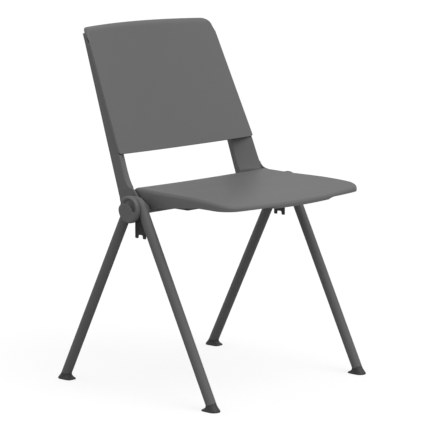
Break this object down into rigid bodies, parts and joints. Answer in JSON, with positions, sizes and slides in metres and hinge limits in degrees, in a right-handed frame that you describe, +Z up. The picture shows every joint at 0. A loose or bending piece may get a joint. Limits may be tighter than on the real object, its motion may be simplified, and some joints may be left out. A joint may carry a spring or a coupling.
{
  "type": "nesting chair",
  "caption": "Armless nesting chair with inverted V tube legs, a flip-up moulded seat and a curved back panel on twin uprights.",
  "frame": {"origin": "centre of the chair's footprint, on the floor", "axes": "+Z up, the sitter faces -Y, +X is the sitter's left"},
  "size_m": [0.58, 0.5605, 0.8645],
  "materials": {
    "frame_paint": "fine-texture grey powder coat on steel tube",
    "upright_paint": "fine-texture grey powder coat on cast aluminium",
    "shell_plastic": "grey polypropylene with a fine moulded grain",
    "cap_plastic": "grey moulded nylon",
    "black_plastic": "black moulded nylon",
    "glide_rubber": "dark grey moulded soft plastic",
    "zinc_steel": "zinc-plated steel"
  },
  "bodies": {
    "frame": {"back_panel": "shell_plastic", "crossbar": "frame_paint", "foot_front_left": "glide_rubber", "foot_front_right": "glide_rubber", "foot_rear_left": "glide_rubber", "foot_rear_right": "glide_rubber", "hub_cap_left": "cap_plastic", "hub_cap_right": "cap_plastic", "panel_screws_left": "zinc_steel", "panel_screws_right": "zinc_steel", "rest_bumper_left": "glide_rubber", "rest_bumper_right": "glide_rubber", "screw_caps_left": "cap_plastic", "screw_caps_right": "cap_plastic", "seat_rest_left": "frame_paint", "seat_rest_right": "frame_paint", "side_frame_left": "frame_paint", "side_frame_right": "frame_paint", "stacking_guide_left": "black_plastic", "stacking_guide_right": "black_plastic", "upright_bolts_left": "zinc_steel", "upright_bolts_right": "zinc_steel", "upright_left": "upright_paint", "upright_right": "upright_paint"},
    "seat": {"bearing_strap_left": "black_plastic", "bearing_strap_right": "black_plastic", "pivot_bearing_left": "black_plastic", "pivot_bearing_right": "black_plastic", "seat_screws_left": "zinc_steel", "seat_screws_right": "zinc_steel", "seat_shell": "shell_plastic", "seat_stiffener_left": "zinc_steel", "seat_stiffener_right": "zinc_steel", "strap_screws_left": "zinc_steel", "strap_screws_right": "zinc_steel"}
  },
  "joints": [
    {"name": "seat_flip", "type": "hinge", "parent": "frame", "child": "seat", "pos_m": [0, 0.01425, 0.4442], "axis": [-1, 0, 0], "range_deg": [0, 84]}
  ]
}
